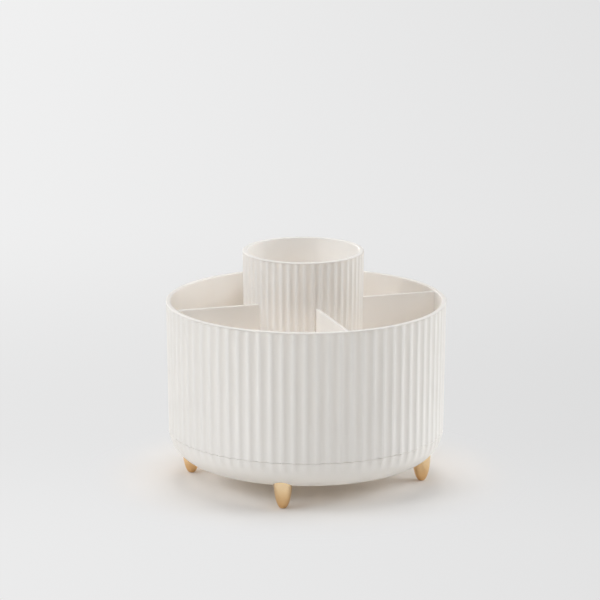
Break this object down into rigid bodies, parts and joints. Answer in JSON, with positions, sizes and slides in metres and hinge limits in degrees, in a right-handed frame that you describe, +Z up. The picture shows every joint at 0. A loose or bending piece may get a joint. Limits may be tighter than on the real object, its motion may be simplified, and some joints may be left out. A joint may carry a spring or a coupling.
{
  "type": "rotating desk organizer",
  "caption": "Round rotating desk organizer: a fluted bowl split by thin dividers round a taller fluted cup, turning on a curved tray with bullet-shaped feet.",
  "frame": {"origin": "on the turning axis of the bowl, level with the tips of the feet", "axes": "+Z up along the turning axis; at rest the dividers lie along +X, -X, +Y and -Y, and the cup is set off towards +Y"},
  "size_m": [0.15, 0.15, 0.1225],
  "materials": {
    "ivory_plastic": "satin moulded, warm white",
    "gold_plate": "bright gold plate",
    "zinc_steel": "zinc plated",
    "ball_steel": "polished",
    "acetal": "natural acetal"
  },
  "bodies": {
    "base": {"base_tray": "ivory_plastic", "foot_front": "gold_plate", "foot_right": "gold_plate", "foot_back": "gold_plate", "foot_left": "gold_plate", "foot_screws": "zinc_steel", "lower_race": "zinc_steel", "lower_race_screws": "zinc_steel", "pivot_pin": "zinc_steel", "pivot_washer": "zinc_steel", "pivot_screw": "zinc_steel"},
    "cage": {"ball_cage": "acetal", "bearing_balls": "ball_steel"},
    "bowl": {"bowl_shell": "ivory_plastic", "center_cup": "ivory_plastic", "divider_front": "ivory_plastic", "divider_right": "ivory_plastic", "divider_back": "ivory_plastic", "divider_left": "ivory_plastic", "upper_race": "zinc_steel", "upper_race_screws": "zinc_steel", "pivot_bush": "acetal"}
  },
  "joints": [
    {"name": "bowl_spin", "type": "hinge", "parent": "base", "child": "bowl", "pos_m": [0, 0, 0.03], "axis": [0, 0, 1], "continuous": true},
    {"name": "cage_spin", "type": "hinge", "parent": "base", "child": "cage", "pos_m": [0, 0, 0.0215], "axis": [0, 0, 1], "continuous": true}
  ],
  "couplings": [
    {"joint": "cage_spin", "follows": "bowl_spin", "ratio": 0.5}
  ]
}
